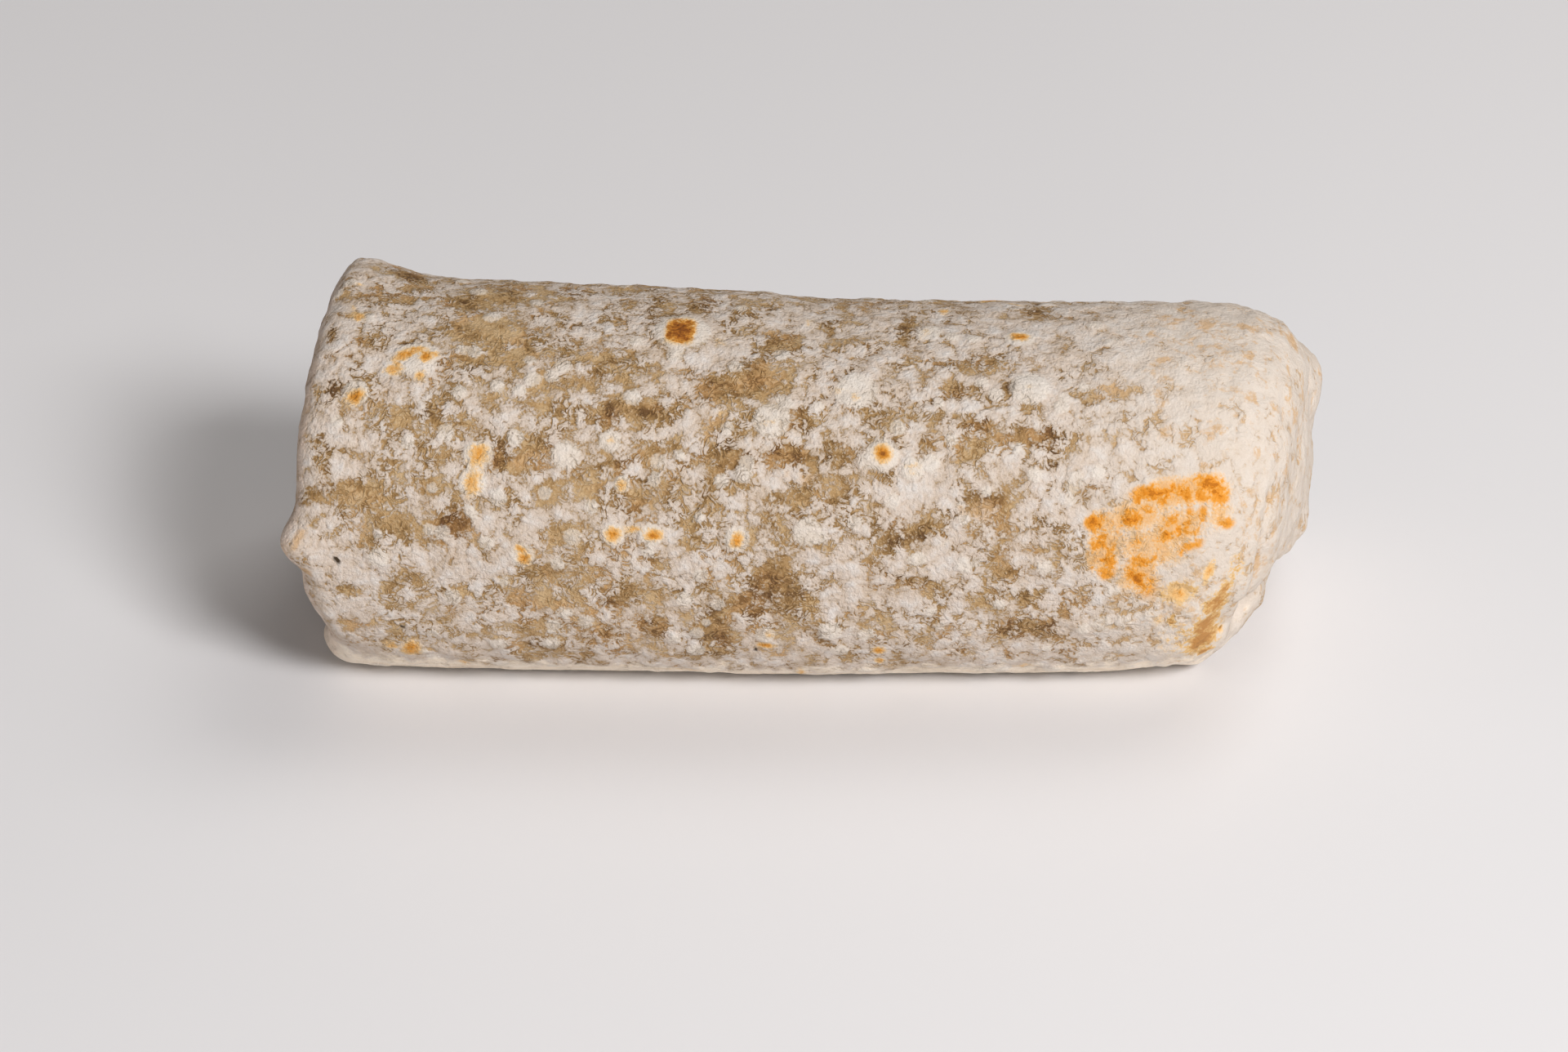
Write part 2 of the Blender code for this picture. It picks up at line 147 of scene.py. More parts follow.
# The one large seared patch near the right end: how strongly it is seared, then its darkest flecks.
SEAR_GROUND = [
    (56.5, 153.8, 6.5, 2.3, 8, 1.0), (62, 152.6, 3.2, 2.3, 0, 1.0), (45, 162, 2.6, 2.2, 10, 0.80),
    (45.2, 170, 2.8, 4.2, 0, 0.80), (51, 177, 2.8, 3.6, -15, 0.90), (57, 163.5, 4.4, 3.2, 0, 0.74),
    (50.5, 160, 5.0, 2.8, 15, 0.76), (52.5, 169, 6.0, 3.6, 0, 0.62), (63.5, 160, 2.4, 2.8, 0, 0.52),
]
SEAR_FLECKS = [
    (43.4, 162.1, 1.0, 1.0, 0, 0.95), (44.2, 167.6, 1.1, 0.6, 48, 0.85), (49.4, 161, 1.1, 1.0, 20, 0.80),
    (52.4, 158.5, 0.8, 0.5, 0, 0.50), (52.2, 154, 2.4, 0.9, 5, 0.80), (50.5, 156.1, 0.5, 0.6, 0, 0.85),
    (54.6, 156.1, 0.7, 0.9, 0, 0.60), (58.1, 154.6, 1.2, 0.7, 0, 0.60), (60.4, 155.2, 0.9, 0.7, 0, 0.65),
    (61.7, 151.6, 1.6, 1.0, -15, 0.95), (63.6, 155.1, 1.2, 1.2, 0, 0.75), (60.8, 159.5, 0.7, 1.2, 0, 0.60),
    (58.8, 158.6, 0.6, 0.9, 0, 0.40), (55.8, 161.7, 0.7, 1.2, -30, 0.60), (58.4, 162.8, 0.5, 0.5, 0, 0.70),
    (57.3, 164.6, 0.8, 0.6, 0, 0.60), (55.3, 165.7, 0.9, 0.7, 0, 0.85), (60, 164.8, 0.6, 0.6, 0, 0.45),
    (64.7, 162.7, 1.2, 0.8, -10, 0.65), (60.1, 168.2, 1.0, 0.8, 20, 0.55), (58.6, 169.3, 1.0, 0.6, 10, 0.60),
    (57.5, 170.9, 0.5, 0.5, 0, 0.60), (50.7, 167.5, 0.6, 0.6, 0, 0.60), (47.4, 164.6, 0.6, 0.8, 0, 0.35),
    (46.3, 169.3, 0.6, 0.6, 0, 0.50), (46.3, 173.6, 0.9, 1.6, 10, 0.60), (45.8, 176.7, 1.2, 1.0, 15, 0.70),
    (43.5, 174.4, 0.5, 0.7, 0, 0.50), (51.6, 173, 1.8, 0.8, 5, 0.60), (50.6, 178.2, 1.7, 0.7, -50, 0.92),
    (52.7, 182, 1.4, 2.2, -20, 0.40), (56.5, 153.4, 1.6, 0.8, 10, 0.50), (45.4, 164.5, 0.4, 1.0, -30, 0.30),
]

# Soft tan and orange tints of the floury right end and the left tip: along, round, half length,
# half width, turn, how strong.
WARM_TINTS = [
    (62.9, 89.7, 3.0, 2.6, 0, 0.70), (69, 90, 2.6, 1.6, 0, 0.80), (66, 89, 3.0, 1.6, -10, 0.60),
    (72.1, 88.8, 2.6, 1.2, -10, 0.70), (76.6, 84.2, 2.4, 1.2, -20, 0.80), (64.5, 104, 1.8, 1.2, 0, 0.75),
    (56.9, 86.2, 3.2, 3.2, 0, 0.60), (60.9, 76.7, 1.6, 4.0, 0, 0.50), (53.7, 97.1, 1.0, 0.8, 0, 0.80),
    (55.5, 110.9, 1.5, 0.9, -8, 0.95), (53.1, 116.9, 1.2, 1.2, 0, 0.75), (55.6, 119.4, 1.4, 1.0, 0, 0.70),
    (61.4, 116.3, 1.2, 0.8, 0, 0.65), (69.4, 107.9, 1.7, 0.7, 5, 0.75), (67.3, 120.3, 1.4, 0.8, 0, 0.60),
    (68.8, 124.7, 2.6, 1.6, -30, 0.55), (72.6, 126.5, 0.9, 0.8, -20, 0.90), (77, 123.9, 1.0, 2.4, 10, 0.90),
    (77.9, 130.9, 0.8, 2.4, 0, 0.60), (62.6, 136.6, 2.6, 1.6, 0, 0.70), (55.1, 137, 1.8, 1.4, 0, 0.60),
    (54.3, 127.3, 1.2, 2.0, 0, 0.60), (72.9, 142.6, 0.9, 1.4, 30, 0.50), (70.1, 141.8, 1.2, 0.8, 0, 0.50),
    (61.5, 146.7, 1.2, 0.8, 0, 0.70), (69.1, 153.7, 2.0, 2.0, 0, 0.45), (68.5, 163.3, 1.6, 2.4, 0, 0.50),
    (72.8, 157.6, 0.5, 1.6, 0, 0.80), (72.8, 168.8, 0.5, 1.4, 0, 0.70), (71.2, 181.4, 1.0, 2.2, -20, 0.60),
    (67.5, 174.3, 1.2, 3.0, 0, 0.50), (-82.2, 166.1, 0.8, 2.4, -28, 0.95), (-84.6, 171.5, 1.0, 1.6, -20, 0.85),
    (-82, 178, 1.5, 1.3, 0, 0.90), (26, 158.5, 2.8, 2.2, 0, 0.75), (22.5, 158.5, 1.6, 1.2, 0, 0.60),
    (-2, 150.5, 2.2, 1.2, 20, 0.60), (-31.5, 132, 3.0, 1.0, 0, 0.45), (-5, 149, 1.2, 1.0, 0, 0.5), (75, 148, 0.6, 3.0, 0, 0.45), (76.5, 161, 0.6, 3.0, 0, 0.50),
    # The first broad tint below darkens the whole lower right corner.
    (58, 184, 8.0, 7.0, 0, 0.50), (64, 106, 11, 7, 0, 0.36), (52, 98, 9, 5, 0, 0.34),
]

# Golden thin places of the tucked lower corner, the last one a broad tint that darkens the whole corner: along, round,
# half length, half width, turn, how deep.
CORNER_SPOTS = [
    (65, 184.5, 1.0, 1.6, -15, 0.8), (63.8, 189.5, 1.9, 2.4, -20, 0.95), (62.4, 197.5, 2.2, 2.6, -15, 1.05),
    (62.1, 204.5, 2.3, 2.8, -10, 1.2), (62.7, 211, 1.1, 0.8, 0, 0.9), (57.4, 183.2, 2.3, 1.7, 10, 1.0),
    (56.6, 192.7, 0.6, 0.9, -12, 1.0), (62.2, 177, 0.7, 1.8, -14, 0.7), (66.8, 178, 1.4, 3.2, 0, 0.32),
    (60, 200, 7.0, 6.5, 0, 0.20),
]

# Raised pale blisters: along, round, radius, height in millimetres.
BLISTERS = [
    (-22, 102, 4.6, 0.45), (10, 144, 2.6, 0.5), (14.8, 147.8, 1.8, 0.45), (17.6, 146, 1.6, 0.3),
    (-53.8, 144, 2.4, 0.4), (-54.8, 151, 2.4, 0.35), (-31.2, 151.5, 1.5, 0.3), (-33, 140.5, 1.9, 0.3),
    (-32.6, 165, 2.0, 0.3), (-26.5, 165, 2.0, 0.3), (-47, 171, 2.2, 0.35), (-13, 166, 2.2, 0.35),
    (-64, 116, 3.6, 0.35), (-73.5, 127, 2.4, 0.3), (-65, 140.5, 1.3, 0.25), (-48, 139.5, 1.4, 0.35),
    (-51, 125, 1.3, 0.35), (-45.5, 122.5, 1.5, 0.35), (-42.5, 121.5, 1.3, 0.35), (-47.5, 126, 1.2, 0.3),
    (-19, 160.2, 0.9, 0.35), (-7.5, 134.5, 3.0, 0.45), (6, 125, 3.4, 0.4), (33.5, 124, 3.2, 0.4),
    (32.5, 101, 2.6, 0.3), (18, 97.5, 2.2, 0.3), (-26, 150.5, 1.2, 0.3), (-12, 149, 1.5, 0.4),
    (-40, 144, 2.4, 0.35), (-1.8, 164, 2.4, 0.35), (1.8, 194.5, 2.0, 0.45), (-58.5, 184.5, 1.6, 0.3),
    (-19.5, 195.5, 1.3, 0.3), (-23, 198.5, 1.1, 0.3), (-18, 192, 0.9, 0.3), (45.5, 193, 1.7, 0.35),
    (49, 192.5, 1.4, 0.35), (42.5, 195, 1.3, 0.3), (60.2, 180, 1.6, 0.4), (15, 172, 1.1, 0.3),
    (-55, 113, 1.4, 0.3), (12.5, 136.5, 1.4, 0.35), (-8.5, 196, 1.7, 0.35), (-27, 170, 1.2, 0.25),
    (-70, 172, 1.8, 0.3), (57.5, 187, 1.5, 0.35), (60, 190, 1.3, 0.3), (53, 190, 1.2, 0.3),
    (26, 122, 1.2, 0.3), (38.5, 130, 1.4, 0.25), (-36, 157.5, 1.2, 0.3), (-57, 127, 1.3, 0.3),
]

# Pin holes and scorched specks: along, round, radius, how dark.
PITS = [
    (-76.6, 173.4, 0.75, 1.0), (-66.9, 196.2, 0.6, 0.8), (-10.1, 202.6, 0.55, 0.9), (37.1, 145.8, 0.5, 0.6),
    (-15.6, 172, 0.5, 0.6), (-22, 177.5, 0.6, 0.6), (39, 172.5, 0.5, 0.5), (65.4, 205.3, 0.5, 0.6),
    (-55.8, 174.3, 0.5, 0.7), (-56, 192, 0.6, 0.5), (-19.2, 158, 0.5, 0.6), (4, 155, 0.5, 0.6),
    (-63.3, 208.7, 0.5, 0.5), (56.5, 158.3, 0.4, 0.7), (-67.8, 163, 0.5, 0.7), (-61.8, 168.2, 0.5, 0.7),
]


# ---------------------------------------------------------------- selecting

def pick(piece):
    """Selects this piece alone and makes it active."""
    bpy.ops.object.select_all(action="DESELECT")
    piece.select_set(True)
    bpy.context.view_layer.objects.active = piece


def apply_all(piece):
    """Applies the piece's modifiers in their order."""
    pick(piece)
    for modifier in list(piece.modifiers):
        bpy.ops.object.modifier_apply(modifier=modifier.name)


# ---------------------------------------------------------------- studio

def camera_above_front():
    """A long lens in front of the roll, looking down at it."""
    data = bpy.data.cameras.new("camera")
    data.lens, data.sensor_width = 105, 36
    data.clip_start, data.clip_end = 0.01, 20
    camera = bpy.data.objects.new("camera", data)
    bpy.context.scene.collection.objects.link(camera)
    look_down = math.radians(32.5)
    camera.rotation_euler = (math.pi / 2 - look_down, 0, 0)
    away, aside, lower = 0.7547, 0.00553, 0.00970
    ahead = (math.cos(look_down), -math.sin(look_down))
    above = (math.sin(look_down), math.cos(look_down))
    camera.location = (-aside, -away * ahead[0] - lower * above[0], 0.027 - away * ahead[1] - lower * above[1])
    bpy.context.scene.camera = camera


def soft_light(name, place, aim, size, power, colour):
    """A square soft box at a place, turned to what it lights."""
    bpy.ops.object.light_add(type="AREA", location=place)
    light = bpy.context.object
    light.name = name
    light.data.shape, light.data.size = "SQUARE", size
    light.data.energy, light.data.color = power, colour
    toward = [a - p for a, p in zip(aim, place)]
    flat = math.hypot(toward[0], toward[1])
    light.rotation_euler = (math.atan2(flat, -toward[2]), 0, math.atan2(-toward[0], toward[1]))


def studio():
    """A pale floor, a soft key light from the front right, two faint ones, and a pale room."""
    pick_nothing = bpy.ops.object.select_all
    pick_nothing(action="DESELECT")
    bpy.ops.mesh.primitive_plane_add(size=6, location=(0, 0, 0))
    floor = bpy.context.object
    floor.name = "floor"
    paint = bpy.data.materials.new("pale_floor")
    paint.use_nodes = True
    shader = paint.node_tree.nodes["Principled BSDF"]
    shader.inputs["Base Color"].default_value = (0.775, 0.768, 0.785, 1)
    shader.inputs["Roughness"].default_value = 0.55
    floor.data.materials.append(paint)
    soft_light("key", (0.72, -0.95, 1.05), (0, 0, 0.02), 0.50, 22.2, (1.0, 0.985, 0.975))
    soft_light("top", (0.60, 0.70, 1.50), (0, 0, 0), 0.9, 8.6, (1.0, 0.97, 0.93))
    soft_light("low", (0.10, -1.10, 0.10), (0, 0, 0.02), 0.40, 3.2, (1.0, 0.98, 0.96))
    soft_light("left", (-1.30, -0.10, 0.24), (-0.08, 0, 0.03), 0.30, 1.9, (1.0, 0.95, 0.92))
    world = bpy.data.worlds.new("room")
    bpy.context.scene.world = world
    world.use_nodes = True
    world.node_tree.nodes["Background"].inputs["Color"].default_value = (1.0, 0.955, 0.92, 1)
    world.node_tree.nodes["Background"].inputs["Strength"].default_value = 0.12
    bpy.context.scene.view_settings.view_transform = "Standard"


# ---------------------------------------------------------------- skin

def skin_over(roll):
    """The roll's own closed form, merged to quads and made fine enough for its relief."""
    pick(roll)
    bpy.ops.object.duplicate()
    skin = bpy.context.object
    skin.name = "tortilla_skin"
    bpy.ops.object.mode_set(mode="EDIT")
    bpy.ops.mesh.select_all(action="SELECT")
    bpy.ops.mesh.remove_doubles(threshold=0.00002)
    bpy.ops.mesh.tris_convert_to_quads(face_threshold=math.radians(50), shape_threshold=math.radians(50))
    bpy.ops.mesh.select_all(action="DESELECT")
    form = bmesh.from_edit_mesh(skin.data)
    for edge in form.edges:
        a, b = edge.verts[0].co, edge.verts[1].co
        middle = (a + b) / 2 / MM
        lengthways = abs(a.x - b.x) > 0.6 * (a - b).length
        angle = math.degrees(math.atan2(middle.z - MIDDLE_Z, middle.y - MIDDLE_Y)) % 360
        edge.select_set(lengthways and not 228 < angle < 318 and abs(middle.x) < 74)
    bmesh.update_edit_mesh(skin.data)
    bpy.ops.mesh.subdivide(number_cuts=1)
    bpy.ops.object.mode_set(mode="OBJECT")
    bpy.ops.object.shade_smooth()
    finer = skin.modifiers.new("finer", "SUBSURF")
    finer.levels = finer.render_levels = 2
    apply_all(skin)
    return skin


class Places:
    """Where each vertex of the skin lies, in millimetres along and degrees round."""

    def __init__(self, skin):
        spots = np.zeros(len(skin.data.vertices) * 3)
        skin.data.vertices.foreach_get("co", spots)
        spots = spots.reshape(-1, 3) / MM
        self.along = spots[:, 0]
        self.high = spots[:, 2]
        over, up = spots[:, 1] - MIDDLE_Y, spots[:, 2] - MIDDLE_Z
        self.round = np.degrees(np.arctan2(up, over)) % 360
        self.reach = np.hypot(over, up)
        facing = np.zeros(len(skin.data.vertices) * 3)
        skin.data.vertices.foreach_get("normal", facing)
        self.facing_x = facing[0::3]

    def from_spot(self, along, angle, length, width, turn, squareness=2):
        """0 at the spot's middle, 1 at its edge, growing outwards; squareness 2 is an oval."""
        across = self.along - along
        around = (self.round - angle + 180) % 360 - 180
        around = np.radians(around) * self.reach
        c, s = math.cos(math.radians(turn)), math.sin(math.radians(turn))
        u, v = np.abs((across * c - around * s) / length), np.abs((across * s + around * c) / width)
        return (u ** squareness + v ** squareness) ** (1 / squareness)


def bell(distance):
    """1 in the middle, about a third at the edge, nothing well outside."""
    return np.exp(-distance ** 2)


def plateau(distance):
    """1 over most of the spot, with a firm edge."""
    return np.exp(-np.minimum(distance, 3) ** 5)


def dome(distance):
    """A flat-topped bump that ends a little outside its radius."""
    return 1 / (1 + np.exp((np.minimum(distance, 10) - 1) * 7))


def ramp(values, low, high):
    """0 below low, 1 above high, eased between."""
    t = np.clip((values - low) / (high - low), 0, 1)
    return t * t * (3 - 2 * t)


def random_spots(seed, count, sizes, levels, start=212, end=436):
    """Spots scattered over the sides that carry no placed ones: the underside, the back and its shoulder."""
    chance = random.Random(seed)
    spots = []
    for _ in range(count):
        length = chance.uniform(*sizes)
        spots.append((chance.uniform(-78, 78), chance.uniform(start, end) % 360, length,
                      length * chance.uniform(0.4, 0.9), chance.uniform(-25, 25), chance.uniform(*levels)))
    return spots


def mark(skin, name, values):
    """Stores one value a vertex under a name, for the material."""
    layer = skin.data.attributes.new(name, "FLOAT", "POINT")
    layer.data.foreach_set("value", np.ascontiguousarray(values, dtype=np.float32))


def group(skin, name, values):
    """Stores weights for a modifier, rounded to a hundredth."""
    made = skin.vertex_groups.new(name=name)
    steps = np.clip(np.round(values * 100), 0, 100).astype(int)
    for step in np.unique(steps):
        if step:
            made.add(np.nonzero(steps == step)[0].tolist(), step / 100, "REPLACE")
    return made


def paint_places(skin):
    """Works out how floury, dark, browned, pale and warmly tinted each place of the skin is; shade is painted round
    the blisters and in the right fold's groove, and the cream underside and left rim are brightened with painted
    bounce light.
    """
    at = Places(skin)
    flour = np.full(len(at.along), 0.42)
    dark = np.full(len(at.along), 0.45)
    toast = np.zeros(len(at.along))
    pale = np.zeros(len(at.along))
    pits = np.zeros(len(at.along))
    height = np.zeros(len(at.along))
    blister_edge_shade = np.zeros(len(at.along))

    hidden_bare = [s + (0.3 + 0.6 * abs(math.sin(s[0])),) for s in random_spots(3, 70, (2.5, 7), (0.5, 1.1))]
    for along, angle, length, width, turn, bare, deep in BARE_PATCHES + hidden_bare:
        here = bell(at.from_spot(along, angle, length, width, turn) ** 1.4)
        flour -= 0.74 * bare * here
        dark += (deep - 0.45) * np.minimum(here * 1.6, 1)
    for along, angle, length, width, turn, thick in FLOUR_PATCHES + random_spots(5, 36, (3, 6), (0.4, 0.9)):
        flour += thick * bell(at.from_spot(along, angle, length, width, turn) ** 1.4) * 0.7
    hidden_toast = random_spots(8, 34, (0.8, 2.2), (0.35, 0.95))
    for along, angle, length, width, turn, strong in TOAST_SPOTS + hidden_toast:
        toast = np.maximum(toast, strong * bell(at.from_spot(along, angle, length, width, turn) * 0.88))
    scorch = at.from_spot(-22.2, 102, 2.3, 3.3, -6, 4)
    sear = np.zeros(len(at.along))
    for along, angle, length, width, turn, strong in SEAR_GROUND:
        sear = np.maximum(sear, strong * bell(at.from_spot(along, angle, length, width, turn) ** 1.6))
    flecks = np.zeros(len(at.along))
    for along, angle, length, width, turn, strong in SEAR_FLECKS:
        flecks = np.maximum(flecks, strong * bell(at.from_spot(along, angle, length, width, turn) * 0.78))

    chance = random.Random(12)
    small = [(chance.uniform(-78, 78), chance.uniform(0, 360), chance.uniform(0.9, 1.7), chance.uniform(0.15, 0.3))
             for _ in range(260)]
    for along, angle, radius, lift in BLISTERS + small:
        here = dome(at.from_spot(along, angle, radius, radius, 0))
        pale = np.maximum(pale, here * min(1, 0.4 + lift))
        height = np.maximum(height, here * lift)
        # Painted shade: a darker ring round each blister's edge.
        blister_edge_shade = np.maximum(blister_edge_shade, 4 * here * (1 - here) * min(1, 0.4 + 1.4 * lift))
    for along, angle, radius, strong in PITS:
        pits = np.maximum(pits, strong * bell(at.from_spot(along, angle, radius, radius, 0)))

    warm_tint_and_crease_shade = np.zeros(len(at.along))
    for along, angle, length, width, turn, strong in WARM_TINTS:
        warm_tint_and_crease_shade = np.maximum(warm_tint_and_crease_shade, strong * bell(at.from_spot(along, angle, length, width, turn)))

    right = ramp(at.along, 34, 66)
    # The left end's rim, facing away from the key light, is painted pale pinkish cream: the folded end's smooth dough,
    # brightened as painted bounce light.
    rim = ramp(-at.facing_x, 0.45, 0.85) * ramp(-at.along, 60, 70) * ramp(at.reach, 16, 25)
    fold = np.interp(at.round, [150, 157, 174, 185, 195, 207], [72.5, 71.5, 70.4, 70.1, 68.2, 68.6])
    beyond = at.along - fold
    near_fold = ramp(at.round, 150, 160) * (1 - ramp(at.round, 205, 214))
    groove = bell((beyond - 0.6) / 0.8) * near_fold
    lip = bell((beyond + 1.0) / 1.1) * near_fold
    # Painted shade: the right fold's groove is tinted tan as the shade in its crease.
    warm_tint_and_crease_shade = np.maximum(warm_tint_and_crease_shade, 0.55 * groove)
    end_face = ramp(np.abs(at.facing_x), 0.5, 0.85) * (1 - ramp(at.reach, 20, 28))
    # The underside gets more flour and a bright cream in the material: partly the dough's own cream colour, partly
    # painted bounce light.
    under = ramp(at.round, 203, 222) * (1 - ramp(at.round, 318, 335)) * (1 - end_face)
    under *= 1 - 0.6 * ramp(at.along, 58, 68)
    # Blisters are paler dough; round their edges thinner flour and darker skin are painted in as shade.
    flour += 0.24 * pale - 0.32 * blister_edge_shade
    dark += 0.10 * blister_edge_shade
    flour += 0.32 * right + 0.25 * (1 - ramp(at.along, -78, -66)) + 0.5 * under + 0.13 * ramp(at.along, -14, 20)
    crown = ramp(at.round, 60, 90) * (1 - ramp(at.round, 118, 134))
    flour = 0.42 + (flour - 0.42) * (1 + 0.4 * crown) + 0.13 * crown * ramp(at.along, -12, 14)
    crown = crown * (0.75 - 0.75 * ramp(at.along, -30, 20))
    flour += 0.04 * crown
    dark += 0.12 * crown
    corner = np.zeros(len(at.along))
    for along, angle, length, width, turn, strong in CORNER_SPOTS:
        corner = np.maximum(corner, strong * bell(at.from_spot(along, angle, length, width, turn)))
    mark(skin, "flour", flour)
    mark(skin, "dark", dark)
    mark(skin, "toast", toast)
    mark(skin, "scorch", 0.7 * plateau(scorch) + 0.3 * bell(scorch * 0.8))
    mark(skin, "sear", sear)
    mark(skin, "sear_flecks", flecks)
    mark(skin, "warm_tint_and_crease_shade", warm_tint_and_crease_shade)
    mark(skin, "pale", pale)
    mark(skin, "pits", pits)
    mark(skin, "right_end", right)
    mark(skin, "right_streaks", ramp(at.along, 66, 75))
    mark(skin, "left_rim_cream_and_bounce", rim)
    mark(skin, "underside", under)
    mark(skin, "thin_corner", corner)
    clear = ramp(at.high, 0.4, 4.0)
    group(skin, "clear", clear)
    group(skin, "blister_height", np.clip(height / 0.5, 0, 1) * clear)
    group(skin, "pit_depth", pits * clear)
    group(skin, "right_wrinkles", ramp(at.along, 60, 74) * clear)
    group(skin, "left_knob", bell(at.from_spot(-84, 169.5, 3.0, 2.6, 0)))
    group(skin, "left_notch", bell(at.from_spot(-83, 181, 2.6, 2.2, 0)))
    group(skin, "fold_notch", bell(at.from_spot(70, 208.5, 2.6, 3.0, -25)))
    group(skin, "low_corner", bell(at.from_spot(60.5, 223, 7, 5, 0)))
    group(skin, "corner_lip", bell(at.from_spot(65.0, 211, 2.0, 2.5, 0)))
    group(skin, "fold_groove", groove * clear)
    group(skin, "fold_lip", lip * clear)


def push_out(skin, name, group_name, strength, texture=None, mid=0.0, coords=None):
    """One step of relief: moves the skin along its normals where the group says."""
    step = skin.modifiers.new(name, "DISPLACE")
    step.vertex_group = group_name
    step.strength, step.mid_level = strength * MM, mid
    if texture:
        step.texture = texture
        step.texture_coords = "OBJECT" if coords else "LOCAL"
        if coords:
            step.texture_coords_object = coords


def clouds(name, size, depth=2):
    texture = bpy.data.textures.new(name, "CLOUDS")
    texture.noise_scale, texture.noise_depth = size * MM, depth
    return texture


def raise_relief(skin):
    """Lumps, blisters, pin holes and the fine wrinkles of the right end, as geometry."""
    stretched = bpy.data.objects.new("wrinkle_lay", None)
    bpy.context.scene.collection.objects.link(stretched)
    stretched.scale = (1, 7, 7)
    bpy.context.view_layer.update()
    push_out(skin, "swells", "clear", 0.5, clouds("wide_swells", 16, 1), 0.5)
    push_out(skin, "lumps", "clear", 0.9, clouds("small_lumps", 4.5, 2), 0.5)
    push_out(skin, "blisters", "blister_height", 0.5)
    push_out(skin, "pin_holes", "pit_depth", -0.5)
    push_out(skin, "left_knob", "left_knob", 1.1)
    push_out(skin, "left_notch", "left_notch", -1.0)
    push_out(skin, "fold_notch", "fold_notch", -2.5)
    push_out(skin, "low_corner", "low_corner", -1.5)
    push_out(skin, "corner_lip", "corner_lip", 0.9)
    push_out(skin, "fold_groove", "fold_groove", -0.8)
    push_out(skin, "fold_lip", "fold_lip", 0.35)
    push_out(skin, "wrinkles", "right_wrinkles", 0.8, clouds("end_wrinkles", 1.6, 1), 0.5, stretched)
    apply_all(skin)
    bpy.data.objects.remove(stretched)


# ---------------------------------------------------------------- skin material

class Board:
    """A material's node tree, with short ways to add what the skin needs."""

    def __init__(self, name):
        self.material = bpy.data.materials.new(name)
        self.material.use_nodes = True
        self.tree = self.material.node_tree
        self.shader = self.tree.nodes["Principled BSDF"]
        self.place = self.tree.nodes.new("ShaderNodeTexCoord").outputs["Object"]

    def put(self, value, socket):
        if hasattr(value, "is_linked"):
            self.tree.links.new(value, socket)
        else:
            socket.default_value = value

    def math(self, how, a, b=0.0, c=None, clamp=False):
        node = self.tree.nodes.new("ShaderNodeMath")
        node.operation, node.use_clamp = how, clamp
        for value, socket in zip((a, b) if c is None else (a, b, c), node.inputs):
            self.put(value, socket)
        return node.outputs[0]

    def sum_of(self, *pairs):
        """Adds value times weight for each pair."""
        total = 0.0
        for value, weight in pairs:
            total = self.math("MULTIPLY_ADD", value, weight, total)
        return total

    def painted(self, name):
        node = self.tree.nodes.new("ShaderNodeAttribute")
        node.attribute_name = name
        return node.outputs["Fac"]

    def stretch(self, scale):
        node = self.tree.nodes.new("ShaderNodeMapping")
        node.inputs["Scale"].default_value = scale
        self.put(self.place, node.inputs["Vector"])
        return node.outputs["Vector"]

    def noise(self, size, detail=2.0, rough=0.5, distort=0.0, where=None):
        """Cloudy noise about its middle, from -0.5 to 0.5, its grain in millimetres."""
        node = self.tree.nodes.new("ShaderNodeTexNoise")
        self.put(where or self.place, node.inputs["Vector"])
        node.inputs["Scale"].default_value = 1 / (size * MM)
        node.inputs["Detail"].default_value = detail
        node.inputs["Roughness"].default_value = rough
        node.inputs["Distortion"].default_value = distort
        return self.math("SUBTRACT", node.outputs["Fac"], 0.5)

    def cells(self, size, feature="F1", where=None):
        """Distance from the middle of the nearest round clump, in clump widths, and its random shade."""
        node = self.tree.nodes.new("ShaderNodeTexVoronoi")
        node.feature = feature
        self.put(where or self.place, node.inputs["Vector"])
        node.inputs["Scale"].default_value = 1 / (size * MM)
        return node.outputs["Distance"], node.outputs["Color"]

    def between(self, value, low, high):
        node = self.tree.nodes.new("ShaderNodeMapRange")
        node.interpolation_type = "SMOOTHSTEP"
        self.put(value, node.inputs["Value"])
        node.inputs["From Min"].default_value = low
        node.inputs["From Max"].default_value = high
        return node.outputs["Result"]

    def ramp(self, value, stops):
        node = self.tree.nodes.new("ShaderNodeValToRGB")
        self.put(value, node.inputs["Fac"])
        marks = node.color_ramp.elements
        while len(marks) < len(stops):
            marks.new(0.5)
        for mark_, (spot, colour) in zip(marks, stops):
            mark_.position, mark_.color = spot, (*colour, 1)
        return node.outputs["Color"]

    def mix(self, amount, first, second, how="MIX"):
        node = self.tree.nodes.new("ShaderNodeMix")
        node.data_type, node.blend_type, node.clamp_result = "RGBA", how, False
        self.put(amount, node.inputs["Factor"])
        for value, socket in ((first, node.inputs[6]), (second, node.inputs[7])):
            self.put((*value, 1) if isinstance(value, tuple) else value, socket)
        return node.outputs[2]


